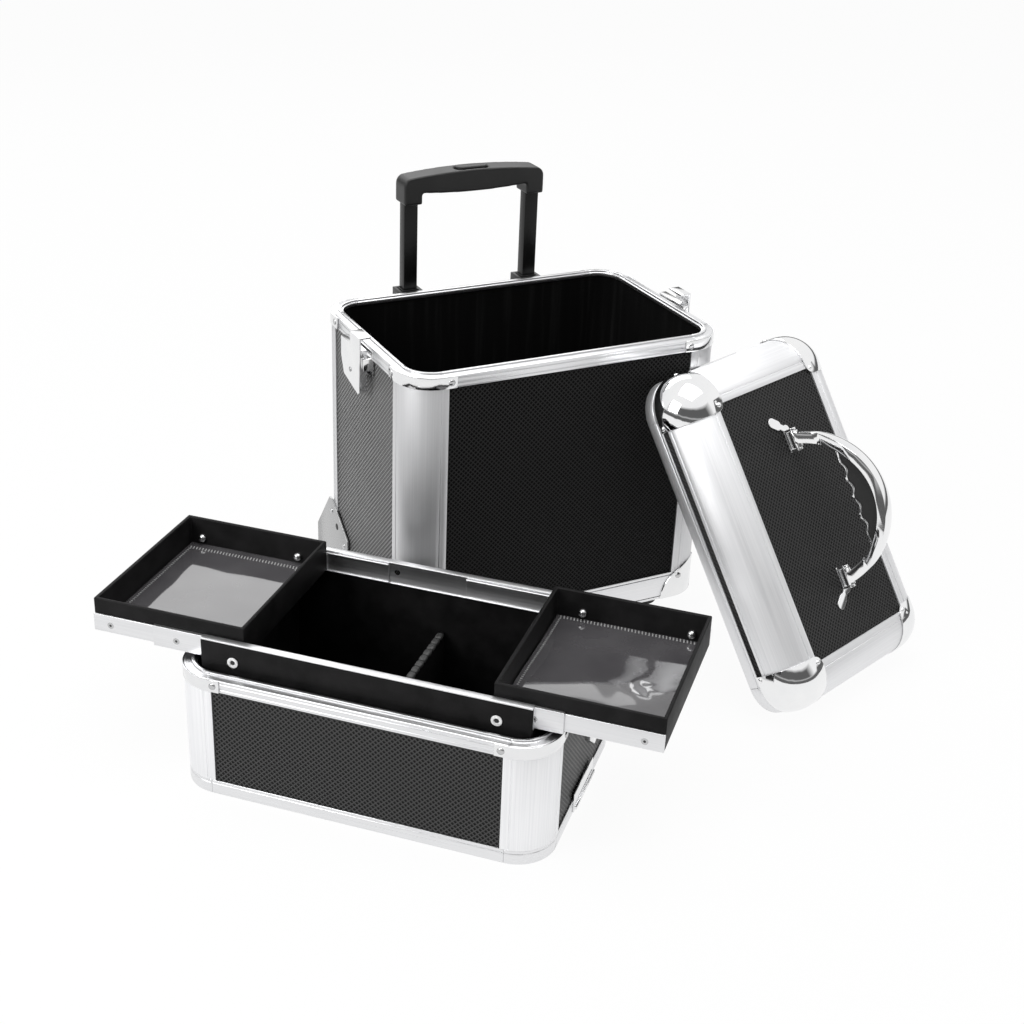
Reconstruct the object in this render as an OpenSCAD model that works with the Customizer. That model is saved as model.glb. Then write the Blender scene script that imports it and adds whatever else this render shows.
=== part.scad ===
// A rolling make-up case in three stacking sections: a wheeled base, a section with sliding trays, and a lid.
// The sections stand apart, as when the case is unpacked.
// The trays are drawn out and the lid leans on the base.

/* [Case] */
// Width of every section
case_w = 345; // [320:1:400]
// Depth of every section
case_d = 230; // [215:1:280]
// Outer radius of the upright corners
corner_r = 36; // [32:1:40]
// Thickness of the covered board panels
panel_t = 7; // [5:0.5:8]
// Thickness of the soft lining
lining_t = 2; // [1:0.5:3]
// Wall of the aluminium profiles
profile_t = 1.5; // [1:0.1:2]
// Height of the rims round the openings
rim_h = 12; // [10:1:20]
// How far a rim's inner leg reaches down over the lining
rim_leg = 4; // [3.5:0.5:8]
// Thickness of a rim's top
rim_top = 2; // [1.5:0.5:3]
// How far a corner post's flange covers the panel beside it
post_flange = 4; // [3:1:10]
// Height of the tongue that keys one section into the next
tongue_h = 2; // [1:0.5:2]
// Depth of the lines drawn along the aluminium profiles
bead = 0.5; // [0.2:0.1:0.6]
// Distance of those lines from the profiles' edges
bead_in = 3.2; // [2.5:0.1:4]
// Thickness of the boards that close the bottoms
board_t = 5; // [3:1:8]
// Thickness of the stamped corner plates
plate_t = 1.2; // [0.8:0.1:1.5]
// How far a corner plate reaches past the corner's round
plate_leg = 12; // [8:1:16]

/* [Base] */
// Height of the base's rim over the ground
base_h = 318; // [280:1:380]
// Height of the base's skirt over the ground
skirt_z = 25; // [22:1:30]
// Height of the skirt itself
skirt_h = 30; // [28:1:36]
// Width of the shelf inside the skirt that carries the panels
shelf_w = 14; // [13:1:18]
// Thickness of that shelf
shelf_t = 2; // [1.5:0.5:3]
// Reach of the rounded caps on the skirt's front corners
foot_cap_r = 40; // [36:1:44]
// Radius of the front feet at the ground
foot_r = 15; // [10:1:18]
// Distance of the front feet from the case's sides
foot_in = 45; // [40:1:60]

/* [Wheels] */
// Radius of a wheel
wheel_r = 22; // [19:1:22]
// Width of a wheel
wheel_w = 20; // [14:1:22]
// Radius of an axle
axle_r = 3; // [2:0.5:4]
// Play of a wheel on its axle, all round
axle_play = 0.05; // [0.02:0.01:0.1]
// How far the wheel brackets stand out behind the case
bracket_out = 16; // [14:1:20]
// Height of the brackets' side wings over the ground
wing_h = 106; // [90:1:130]
// Thickness of the bracket plates
bracket_t = 2; // [1.5:0.5:2.5]

/* [Pull handle] */
// Width of an inner tube
tube_w = 15; // [12:0.5:18]
// Depth of an inner tube
tube_d = 12.5; // [10:0.5:15]
// Wall of the tubes
tube_t = 1.2; // [1:0.1:1.4]
// Play between one tube and the next, on each side
tube_play = 0.3; // [0.3:0.05:0.5]
// Distance between the two tubes, middle to middle
tube_gap = 140; // [120:1:170]
// Distance of the tubes' middles behind the case
tube_out = 13; // [12:1:18]
// How far the handle stands drawn out
handle_up = 88; // [40:1:110]
// How far the grip reaches past the tubes' middles
grip_past = 10; // [9.5:0.5:20]
// Depth of the grip
grip_d = 26; // [22:1:32]
// Height of the grip's bar in the middle
grip_bar = 20; // [18:1:34]
// Length of the grip's sockets below the bar
grip_socket = 12; // [8:1:16]
// Rise of the grip's arched top
grip_arch = 5; // [4:1:10]
// Drop of the grip's underside in the middle
grip_belly = 3; // [1:0.5:5]
// Length of the release button
button_l = 37; // [25:1:50]
// Width of the release button
button_w = 14; // [10:1:16]
// Travel of the release button
button_travel = 4; // [2:0.5:4]

/* [Latches] */
// Width of a latch lever
latch_w = 48; // [40:1:54]
// How far a lever hangs below the rim
latch_drop = 47; // [44:1:60]
// Width of a lever's lower end
latch_tip_w = 41; // [32:1:46]
// How far a lever's rear corner hangs below the rim
latch_rear_drop = 38; // [34:1:42]
// Width of a lever's hook
hook_w = 24; // [16:1:30]
// Thickness of the lever's sheet
latch_t = 2; // [1.5:0.5:2.5]
// Distance of a lever's face from the side of the case
latch_out = 13.5; // [12:0.5:16]
// Radius of a latch pin
latch_pin_r = 1.5; // [1:0.1:2]
// Height of the base's hooks over the rim
base_hook_rise = 12; // [11:1:18]
// Height of the tray section's hooks over the rim
tray_hook_rise = 5; // [4.5:0.1:5.2]

/* [Tray section] */
// Height of the tray section
section_h = 120; // [110:1:150]
// Height of the frame round its bottom
section_frame_h = 14; // [12:1:20]
// Distance between the insert's ends and the rim
insert_gap_x = 10; // [9.5:0.5:30]
// Distance between the insert's long walls and the rim
insert_gap_y = 6.5; // [6.5:0.5:20]
// Thickness of the insert's walls
insert_t = 3.5; // [2:0.5:5]
// How far the insert's walls stand over the rim
insert_rise = 26; // [24:1:34]
// Height of the divider in the insert
divider_h = 70; // [30:1:90]
// Thickness of the divider
divider_t = 4; // [2:0.5:6]
// Place of the divider from the insert's middle
divider_x = 3; // [-60:1:60]

/* [Trays] */
// How far a tray that is pushed in stays short of the insert's end
tray_in = 3; // [2:0.5:20]
// Height of a tray
tray_h = 31.5; // [26:0.5:40]
// Wall of a tray
tray_t = 3.5; // [2:0.5:5]
// Height of the rails on the trays
rail_h = 17; // [12:0.5:17.5]
// How far the trays stand drawn out
tray_out = 112; // [0:1:115]
// How far the left slides stand drawn out
left_slide_out = 50; // [0:1:56]
// How far the right slides stand drawn out
right_slide_out = 26; // [0:1:56]
// Play between tray, slide and track
slide_play = 0.3; // [0.3:0.05:0.5]
// Thickness of the clear vinyl sheets on the trays' floors
sheet_t = 0.8; // [0.5:0.1:1.5]

/* [Lid] */
// Height of the lid's rim
lid_rim_h = 14; // [9:1:18]
// Height of the black strip over that rim
lid_strip_h = 7; // [2:0.5:10]
// Thickness of the lid's rounded edge profiles
lid_profile_t = 4; // [3:0.5:5]
// Width of the profiles' lip on the top panel
lid_lip = 4; // [3:0.5:8]
// How far the corner caps reach along the edges
cap_leg = 11; // [8:1:24]
// Distance between the lid handle's brackets, middle to middle
bracket_gap = 145; // [140:1:150]
// Height of the lid handle's pins over the top panel
pin_rise = 8; // [7:0.5:10]
// Radius of the lid handle's pins
bow_pin_r = 2.5; // [2:0.1:3]
// Height of the bow over its pins
bow_h = 67; // [62:1:72]
// Thickness of the bow
bow_t = 12; // [10:1:13]
// Depth of the bow in the middle
bow_d = 24; // [18:1:26]
// Height of the grip's underside over the pins
bow_grip_h = 36.5; // [34:0.5:40]

/* [Standing places] */
// Place of the base, sideways from the middle of the set
base_x = 72.01; // [40:0.01:110]
// Place of the base, backwards from the middle of the set
base_y = 169.97; // [130:0.01:220]
// Place of the tray section, sideways from the base
section_x = -228; // [-320:1:-220]
// Place of the tray section, forwards from the base
section_y = -235; // [-320:1:-230]
// Turn of the tray section
section_turn = -44.7; // [-60:0.1:-30]
// Distance of the lid's standing edge from the base's side
lid_side = 47.5; // [40:0.1:70]
// Gap between the leaning lid and the base's corner post
lid_gap = 0.4; // [0.3:0.1:2]
// Turn of the lid
lid_turn = 18.9; // [10:0.1:25]
// Lean of the lid from the upright
lid_lean = 33.7; // [28:0.1:38]

/* [Hidden] */
$fn = 96;
// Colours
aluminium = [0.80, 0.81, 0.83];
chrome = [0.88, 0.89, 0.90];
panel_black = [0.07, 0.07, 0.08];
lining_black = [0.03, 0.03, 0.03];
plastic_black = [0.10, 0.10, 0.11];
clear_grey = [0.60, 0.62, 0.64, 0.5];
// Sliver that keeps cuts clean, and the seam between two lengths of one profile
cut = 1;
seam = 0.2;
// Fit of round plates that lie on round corners
skin = 0.05;
// Place of the lines on the quarter rounds
line_angle = 6;
// Depths from the outside of a wall to its layers
post_t = profile_t + panel_t;
lined_t = post_t + lining_t;
rim_w = lined_t + profile_t;
// Tongue of a rim and its groove in the section above
tongue_w = 3;
tongue_in = rim_w - 2;
groove_play = 0.3;
groove_floor_t = tongue_h + groove_play + 2;
// Heights in the base
shelf_z = skirt_z + skirt_h - 6 - shelf_t;
base_floor_z = shelf_z + shelf_t;
skirt_top = skirt_z + skirt_h;
// Wheels stand behind and below, inside the skirt's rear corners
wheel_side_play = 2;
wheel_out_x = case_w / 2 - wheel_side_play;
wheel_in_x = wheel_out_x - wheel_w;
bracket_in_x = wheel_in_x - wheel_side_play - bracket_t;
bracket_back_y = case_d / 2 + bracket_out;
wheel_back_play = 1;
wheel_y = bracket_back_y - bracket_t - wheel_back_play - wheel_r;
bracket_front_y = wheel_y - wheel_r - 16;
wing_reach = 26;
wing_shoulder = 30;
wing_top_front = 20;
wing_top_back = 12;
hood_rise = 23;
wing_front_y = bracket_front_y - wing_reach;
axle_head = 2;
// Tubes of the pull handle, from the inside out
mid_w = tube_w + 2 * (tube_play + tube_t);
mid_d = tube_d + 2 * (tube_play + tube_t);
out_w = mid_w + 2 * (tube_play + tube_t);
out_d = mid_d + 2 * (tube_play + tube_t);
tube_y = case_d / 2 + tube_out;
mount_wall = 2.5;
mount_back_y = tube_y + out_d / 2 + mount_wall;
mount_foot_z = skirt_top + 1;
mount_foot_h = 18;
tube_foot_z = mount_foot_z + 4;
collar_h = 18;
collar_z = base_h - collar_h;
collar_top = base_h - 1;
collar_lid = 4;
tube_top_z = collar_top - collar_lid;
tube_step = 4;
mid_top_z = collar_top + 1;
grip_foot_z = mid_top_z + tube_step + handle_up;
grip_under_z = grip_foot_z + grip_socket;
grip_end_z = grip_under_z + grip_bar - grip_arch;
grip_top_z = grip_end_z + grip_arch;
grip_w = tube_gap + 2 * grip_past;
grip_leg = 2 * grip_past;
grip_round = 10;
// The rounds at the grip's ends reach a little over the arch, which cuts them
grip_over = 0.3;
grip_shoulder_z = grip_end_z - grip_round + grip_over + grip_arch * (1 - pow(1 - 2 * grip_round / grip_w, 2));
belly_reach = grip_w / 2 - grip_leg + 2;
belly_r = (belly_reach * belly_reach + grip_belly * grip_belly) / (2 * grip_belly);
socket_depth = 14;
arch_r = (grip_w * grip_w / 4 + grip_arch * grip_arch) / (2 * grip_arch);
button_h = 8;
button_proud = 1.5;
button_play = 0.4;
// Latches: the pin's place from the side of the case and from the rim's top
latch_pin_x = 6.5;
latch_pin_z = -15;
latch_pin_play = 0.05;
latch_knuckle_r = latch_pin_r + 2.1;
latch_side = 8;
latch_head = 1;
latch_corner = 4;
hook_t = 2;
ear_t = 3;
ear_h = 12;
ear_past = 4;
ear_play = 0.5;
latch_plate_t = 1.6;
latch_plate_h = 26;
catch_reach = 4;
hook_reach = 1.2;
lid_hook_reach = -2.5;
// Middle of the hooks along a side: they stand at the levers' front edges
hook_y = (hook_w - latch_w) / 2;
// Tray section heights and the stack of walls beside a tray
insert_w = case_w - 2 * (rim_w + insert_gap_x);
insert_d = case_d - 2 * (rim_w + insert_gap_y);
section_floor_z = groove_floor_t;
lining_floor_z = section_floor_z + board_t + lining_t;
insert_top = section_h + insert_rise;
track_t = 1.4;
strip_t = 1.5;
lip_t = 1.2;
slide_t = 1.8;
rail_t = 2;
track_face = insert_d / 2 - insert_t - track_t;
slide_face = track_face - slide_play - slide_t;
rail_face = slide_face - slide_play;
tray_d = 2 * (rail_face - rail_t);
slide_top = insert_top - slide_play;
rail_top = slide_top - lip_t - slide_play;
rail_z = rail_top - rail_h;
slide_z = rail_z - slide_play - lip_t;
track_z = slide_z - slide_play - lip_t;
track_lip = slide_face + slide_play;
slide_lip = rail_face - rail_t + slide_play;
tray_z = rail_z;
tray_end_gap = 1.5;
tray_l = insert_w / 2 - tray_end_gap - tray_in;
slide_end_gap = 2;
slide_l = (insert_w - 2 * slide_end_gap) / 2;
sheet_gap = 1.5;
eyelet_x = 120;
eyelet_r = 5;
// Lid, drawn flat with its rim's plane at zero
lid_edge_z = lid_rim_h + lid_strip_h;
lid_h = lid_edge_z + corner_r;
lid_panel_t = 5;
lid_panel_top = lid_h - profile_t;
lid_wall_h = 30;
pin_y = -6;
knuckle_l = 17;
ear_gap = 0.5;
lid_ear_t = 2.5;
lid_foot_t = 1.5;
lid_foot_w = 10;
leaf_l = 20;
leaf_w = 10;
leaf_neck = 6;
leaf_turn = 55;
lid_ear_r = 4;
// The bow's depth over the brackets' feet, and the heights between which it widens
bow_clear = 0.4;
bow_end_d = 2 * (pin_rise - lid_foot_t - bow_clear);
bow_neck_h = 22;
bow_shoulder_h = 48;
bow_crown = 20;
// The bow's middle line runs from over the pins to its top
bow_foot_h = 1;
bow_foot_x = bracket_gap / 2 + 1.7;
bow_rise = bow_h - bow_t / 2 - bow_foot_h;
bow_r = (bow_foot_x * bow_foot_x + bow_rise * bow_rise) / (2 * bow_rise) + bow_t / 2;
frame_t = 2;
grip_thick = 18;
bow_tilt = 25;
bow_pin_play = 0.05;
knuckle_r = bow_pin_r + 2.5;
groove_count = 4;
groove_r = 11;
groove_depth = 3;
catch_plate_t = 1;
window_z = [tray_hook_rise - hook_t - 0.5, tray_hook_rise + 0.7];
// The lid's edge stands on its catch plate, and its upper edge meets the base's front right corner post
lid_stand = catch_plate_t * cos(lid_lean);
corner_mid = [case_w / 2 - corner_r, -(case_d / 2 - corner_r)];
lean_back = (case_w + catch_plate_t) * sin(lid_lean);
lid_x = case_w / 2 + lid_side;
lid_reach = corner_r + lid_gap + lean_back;
lid_y = corner_mid[1] + ((lid_x - corner_mid[0]) * sin(lid_turn) - lid_reach) / cos(lid_turn);

// Plan of the case, drawn in by a depth from its outside
module plan(depth) {
    w = case_w - 2 * depth;
    d = case_d - 2 * depth;
    r = corner_r - depth;
    square([w - 2 * r, d], center = true);
    square([w, d - 2 * r], center = true);
    for (x = [-1, 1], y = [-1, 1])
        translate([x * (w / 2 - r), y * (d / 2 - r)])
            circle(r);
}

// Puts a piece at each of the four upright corners, with the corner's middle as its origin
module at_corners(turns = [0, 1, 2, 3]) {
    signs = [[1, 1], [-1, 1], [-1, -1], [1, -1]];
    for (k = turns)
        translate([signs[k][0] * (case_w / 2 - corner_r), signs[k][1] * (case_d / 2 - corner_r), 0])
            rotate(90 * k)
                children();
}

// Runs a profile along the four straight sides; its x is zero on the outside and runs inwards below zero
module along_sides() {
    for (k = [0 : 3]) {
        across = k % 2 == 0 ? case_w : case_d;
        length = (k % 2 == 0 ? case_d : case_w) - 2 * corner_r - seam;
        rotate(90 * k)
            translate([across / 2, 0, 0])
                rotate([90, 0, 0])
                    linear_extrude(length, center = true)
                        children();
    }
}

// Runs a profile all round the case, as four straight lengths and four bent corners
module all_round() {
    along_sides()
        children();
    at_corners()
        rotate_extrude(angle = 90)
            translate([corner_r, 0])
                children();
}

// Quarter of a round plate on a corner, with two straight legs
module corner_plate(inner, outer, leg) {
    difference() {
        union() {
            intersection() {
                circle(outer);
                square(outer);
            }
            translate([-leg, 0])
                square([leg, outer]);
            translate([0, -leg])
                square([outer, leg]);
        }
        circle(inner);
        translate([-leg - cut, -inner])
            square([leg + cut, 2 * inner]);
        translate([-inner, -leg - cut])
            square([2 * inner, leg + cut]);
    }
}

// Points of a line drawn along a profile's outer face, at a height
function line_points(z) = [[0, z - bead], [-bead, z], [0, z + bead]];

// Cuts that draw two lines on a quarter round
module round_lines(radius) {
    for (angle = [line_angle, 90 - line_angle])
        rotate(angle)
            translate([radius, 0])
                circle(bead);
}

module front_panel(z0, z1) {
    translate([-(case_w / 2 - corner_r), -case_d / 2 + profile_t, z0])
        cube([case_w - 2 * corner_r, panel_t, z1 - z0]);
}

module side_panels(z0, z1) {
    for (turn = [0, 180])
        rotate(turn)
            translate([case_w / 2 - post_t, -(case_d / 2 - corner_r), z0])
                cube([panel_t, case_d - 2 * corner_r, z1 - z0]);
}

module corner_posts(z0, z1) {
    at_corners()
        translate([0, 0, z0])
            linear_extrude(z1 - z0) {
                difference() {
                    intersection() {
                        circle(corner_r);
                        square(corner_r);
                    }
                    circle(corner_r - post_t);
                    round_lines(corner_r);
                }
                translate([corner_r - profile_t, -post_flange])
                    square([profile_t, post_flange + cut]);
                translate([-post_flange, corner_r - profile_t])
                    square([post_flange + cut, profile_t]);
            }
}

module top_rim(top) {
    translate([0, 0, top - rim_h])
        all_round()
            polygon(concat(
                [[0, 0]], line_points(bead_in), line_points(rim_h - bead_in),
                [[0, rim_h - bead], [-bead, rim_h],
                 [-tongue_in + tongue_w, rim_h], [-tongue_in + tongue_w, rim_h + tongue_h],
                 [-tongue_in, rim_h + tongue_h], [-tongue_in, rim_h],
                 [-rim_w, rim_h], [-rim_w, rim_h - rim_leg],
                 [-lined_t, rim_h - rim_leg], [-lined_t, rim_h - rim_top],
                 [-profile_t, rim_h - rim_top], [-profile_t, 0]]
            ));
}

module rim_corners(top) {
    translate([0, 0, top - rim_h])
        at_corners()
            linear_extrude(rim_h)
                corner_plate(corner_r + skin, corner_r + skin + plate_t, plate_leg);
}

module lined_box(z0, z1) {
    difference() {
        translate([0, 0, z0])
            linear_extrude(z1 - z0)
                plan(post_t);
        translate([0, 0, z0 + lining_t])
            linear_extrude(z1 - z0)
                plan(lined_t);
    }
}

// Draws a piece on the right side of the case, and its mirror image on the left
module both_sides() {
    children();
    mirror([1, 0, 0])
        children();
}

// Turns an outline of [y, z] points into a plate that is thick along x
module upright_plate(x, thick) {
    translate([x, 0, 0])
        rotate([90, 0, 90])
            linear_extrude(thick)
                children();
}

// Standing places of the three sections
module base_place() {
    translate([base_x, base_y, 0])
        children();
}

module section_place() {
    base_place()
        translate([section_x, section_y, 0])
            rotate(section_turn)
                children();
}

module lid_place() {
    base_place()
        translate([lid_x, lid_y, lid_stand])
            rotate([0, lid_lean - 90, 90 + lid_turn])
                translate([case_w / 2, 0, 0])
                    children();
}

// The base's walls and frames

module base_front_panel() {
    color(panel_black)
        base_place()
            front_panel(base_floor_z, base_h - rim_top);
}

module base_back_panel() {
    color(panel_black)
        base_place()
            rotate(180)
                front_panel(base_floor_z, base_h - rim_top);
}

module base_side_panels() {
    color(panel_black)
        base_place()
            side_panels(base_floor_z, base_h - rim_top);
}

module base_bottom_panel() {
    color(panel_black)
        base_place()
            translate([0, 0, base_floor_z])
                linear_extrude(board_t)
                    plan(post_t);
}

module base_lining() {
    color(lining_black)
        base_place()
            lined_box(base_floor_z + board_t, base_h - rim_top);
}

module base_corner_posts() {
    color(aluminium)
        base_place()
            corner_posts(skirt_top, base_h - rim_h);
}

module base_top_rim() {
    color(aluminium)
        base_place()
            top_rim(base_h);
}

module base_rim_corners() {
    color(chrome)
        base_place()
            rim_corners(base_h);
}

module base_bottom_frame() {
    color(aluminium)
        base_place()
            difference() {
                all_round()
                    polygon(concat(
                        [[0, skirt_z]], line_points(skirt_z + bead_in), line_points(skirt_top - bead_in),
                        [[0, skirt_top], [-profile_t, skirt_top], [-profile_t, base_floor_z],
                         [-shelf_w, base_floor_z], [-shelf_w, shelf_z],
                         [-profile_t, shelf_z], [-profile_t, skirt_z]]
                    ));
                both_sides()
                    translate([bracket_in_x, bracket_front_y - bracket_t, skirt_z - cut])
                        cube([case_w, case_d, shelf_z - skirt_z + cut]);
            }
}

module base_foot_corners() {
    color(chrome)
        base_place()
            at_corners([2, 3])
                intersection() {
                    translate([0, 0, skirt_z])
                        linear_extrude(2 * foot_cap_r)
                            corner_plate(corner_r + skin, corner_r + skin + plate_t, foot_cap_r);
                    translate([corner_r - 14.5, corner_r - 14.5, skirt_z - 1])
                        sphere(foot_cap_r);
                }
}

// Wheels and feet

module wheel_axis(x) {
    translate([x, wheel_y, wheel_r])
        rotate([0, 90, 0])
            children();
}

module wheel_brackets() {
    hood_z = shelf_z - bracket_t;
    outer_x = case_w / 2;
    inside = outer_x - bracket_in_x;
    length = bracket_back_y - bracket_front_y;
    color(chrome)
        base_place()
            both_sides()
                difference() {
                    union() {
                        upright_plate(outer_x, bracket_t)
                            polygon([
                                [wing_front_y, skirt_z], [wing_front_y, wing_h - wing_shoulder],
                                [wheel_y - wing_top_front, wing_h], [wheel_y - wing_top_back, wing_h],
                                [bracket_back_y, skirt_top + 3], [bracket_back_y, skirt_z + 9],
                                [bracket_back_y - 9, skirt_z]
                            ]);
                        upright_plate(bracket_in_x, bracket_t)
                            polygon([
                                [bracket_front_y, skirt_z], [bracket_front_y, shelf_z],
                                [bracket_back_y, shelf_z], [bracket_back_y, skirt_z + 9],
                                [bracket_back_y - 9, skirt_z]
                            ]);
                        translate([bracket_in_x, bracket_front_y - bracket_t, skirt_z])
                            cube([inside + bracket_t, bracket_t, shelf_z - skirt_z]);
                        translate([bracket_in_x, bracket_front_y, hood_z])
                            cube([inside + bracket_t, length, bracket_t]);
                        translate([bracket_in_x, bracket_back_y - bracket_t, skirt_z + 11])
                            cube([inside + bracket_t, bracket_t, shelf_z - skirt_z - 11]);
                        upright_plate(bracket_in_x, inside + bracket_t)
                            polygon([
                                [case_d / 2 + seam, hood_z], [bracket_back_y, hood_z],
                                [bracket_back_y, skirt_top + 3], [case_d / 2 + seam, skirt_top + hood_rise]
                            ]);
                    }
                    wheel_axis(bracket_in_x - cut)
                        cylinder(case_w, r = axle_r + axle_play / 2);
                }
}

module wheel_axles() {
    tip_x = bracket_in_x - 1;
    head_x = case_w / 2 + bracket_t;
    color(aluminium)
        base_place()
            both_sides() {
                wheel_axis(tip_x)
                    cylinder(head_x - tip_x, r = axle_r);
                wheel_axis(head_x)
                    cylinder(axle_head, r = axle_r + 2);
            }
}

// A wheel as a turned body: a tread with rounded shoulders and dished sides
module wheel() {
    shoulder = 4;
    dish = 3;
    rim_r = wheel_r - 6;
    hub_r = axle_r + 4;
    color(plastic_black)
        wheel_axis(wheel_in_x)
            difference() {
                rotate_extrude() {
                    translate([axle_r + axle_play, dish])
                        square([wheel_r - axle_r - axle_play - shoulder, wheel_w - 2 * dish]);
                    translate([rim_r, 0])
                        square([wheel_r - shoulder - rim_r, wheel_w]);
                    translate([axle_r + axle_play, 0])
                        square([hub_r - axle_r, wheel_w]);
                    translate([wheel_r - shoulder - cut, shoulder])
                        square([shoulder + cut, wheel_w - 2 * shoulder]);
                    for (z = [shoulder, wheel_w - shoulder])
                        translate([wheel_r - shoulder, z])
                            circle(shoulder);
                }
            }
}

module wheel_left() {
    base_place()
        mirror([1, 0, 0])
            wheel();
}

module wheel_right() {
    base_place()
        wheel();
}

module front_feet() {
    color(plastic_black)
        base_place()
            for (x = [-1, 1])
                translate([x * (case_w / 2 - foot_in), -(case_d / 2 - foot_in), 0])
                    rotate_extrude()
                        polygon([
                            [0, 0], [foot_r - 1, 0], [foot_r, 1], [foot_r, 5],
                            [foot_r - 4, base_floor_z], [0, base_floor_z]
                        ]);
}

// The pull handle

module at_tubes() {
    for (x = [-1, 1])
        translate([x * tube_gap / 2, tube_y, 0])
            children();
}

module tube(w, d, z0, z1) {
    translate([0, 0, z0])
        linear_extrude(z1 - z0)
            difference() {
                square([w, d], center = true);
                square([w - 2 * tube_t, d - 2 * tube_t], center = true);
            }
}

module handle_outer_tubes() {
    color(plastic_black)
        base_place()
            at_tubes()
                tube(out_w, out_d, tube_foot_z, tube_top_z);
}

// Foot cups on the back panel and collars on the back rim
module handle_mounts() {
    mid_window = [mid_w + 2 * tube_play, mid_d + 2 * tube_play];
    back_face = case_d / 2 - profile_t;
    color(plastic_black)
        base_place()
            for (x = [-1, 1]) {
                difference() {
                    translate([x * tube_gap / 2 - out_w / 2 - mount_wall, back_face, mount_foot_z])
                        cube([out_w + 2 * mount_wall, mount_back_y - back_face, mount_foot_h]);
                    translate([x * tube_gap / 2 - out_w / 2, tube_y - out_d / 2, tube_foot_z])
                        cube([out_w, out_d, mount_foot_h]);
                }
                difference() {
                    translate([x * tube_gap / 2 - out_w / 2 - mount_wall, case_d / 2, collar_z])
                        cube([out_w + 2 * mount_wall, mount_back_y - case_d / 2, collar_top - collar_z]);
                    translate([x * tube_gap / 2 - out_w / 2, tube_y - out_d / 2, collar_z - cut])
                        cube([out_w, out_d, tube_top_z - collar_z + cut]);
                    translate([x * tube_gap / 2, tube_y, collar_z])
                        linear_extrude(collar_top)
                            square(mid_window, center = true);
                }
            }
}

module handle_middle_tubes() {
    color(plastic_black)
        base_place()
            at_tubes()
                tube(mid_w, mid_d, tube_foot_z + tube_step, mid_top_z);
}

module handle_inner_tubes() {
    color(plastic_black)
        base_place()
            at_tubes()
                tube(tube_w, tube_d, tube_foot_z + 2 * tube_step + handle_up, grip_foot_z + socket_depth);
}

// Outline of the grip seen from the front: an arched bar with a belly, on two sockets
module grip_outline() {
    difference() {
        intersection() {
            translate([0, grip_top_z - arch_r])
                circle(arch_r, $fn = 360);
            union() {
                translate([-grip_w / 2, grip_foot_z])
                    square([grip_w, grip_shoulder_z - grip_foot_z]);
                translate([-grip_w / 2 + grip_round, grip_foot_z])
                    square([grip_w - 2 * grip_round, grip_top_z - grip_foot_z]);
                for (x = [-1, 1])
                    translate([x * (grip_w / 2 - grip_round), grip_shoulder_z])
                        circle(grip_round);
            }
        }
        difference() {
            translate([-grip_w / 2 + grip_leg, grip_foot_z - cut])
                square([grip_w - 2 * grip_leg, grip_socket + cut]);
            translate([0, grip_under_z - grip_belly + belly_r])
                circle(belly_r, $fn = 360);
        }
    }
}

module slot_plan(l, w) {
    square([l - w, w], center = true);
    for (x = [-1, 1])
        translate([x * (l - w) / 2, 0])
            circle(w / 2);
}

module handle_grip() {
    pocket = button_h - button_proud + button_travel + button_play;
    color(plastic_black)
        base_place()
            difference() {
                translate([0, tube_y + grip_d / 2, 0])
                    rotate([90, 0, 0])
                        linear_extrude(grip_d)
                            grip_outline();
                at_tubes()
                    translate([0, 0, grip_foot_z - cut])
                        linear_extrude(socket_depth + cut)
                            square([tube_w, tube_d], center = true);
                translate([0, tube_y, grip_top_z - pocket])
                    linear_extrude(pocket + cut)
                        slot_plan(button_l + 2 * button_play, button_w + 2 * button_play);
            }
}

module handle_button() {
    color(plastic_black)
        base_place()
            translate([0, tube_y, grip_top_z + button_proud - button_h])
                linear_extrude(button_h)
                    slot_plan(button_l, button_w);
}

// Latches: x runs out from the side of a section, y along it, and z is zero on the rim's top

module latch_bracket() {
    ear_y = latch_w / 2 + ear_play;
    plate_w = latch_w + 2 * (ear_play + ear_t);
    for (y = [-ear_y - ear_t, ear_y])
        translate([0, y, latch_pin_z - ear_h / 2])
            cube([latch_pin_x + ear_past, ear_t, ear_h]);
    translate([0, -plate_w / 2, latch_pin_z - latch_plate_h / 2])
        cube([latch_plate_t, plate_w, latch_plate_h]);
    translate([latch_pin_x, plate_w / 2, latch_pin_z])
        rotate([90, 0, 0])
            cylinder(plate_w, r = latch_pin_r);
}

// Outline of a lever, drawn in by a depth: its front edge hangs straight and its rear edge slants
function lever_points(depth) = [
    [depth - latch_w / 2, -latch_head - depth], [latch_w / 2 - depth, -latch_head - depth],
    [latch_w / 2 - depth, latch_pin_z - ear_h / 2],
    [latch_tip_w - latch_w / 2 - depth, depth - latch_rear_drop],
    [latch_corner - latch_w / 2, depth - latch_drop], [depth - latch_w / 2, latch_corner - latch_drop]
];

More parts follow.
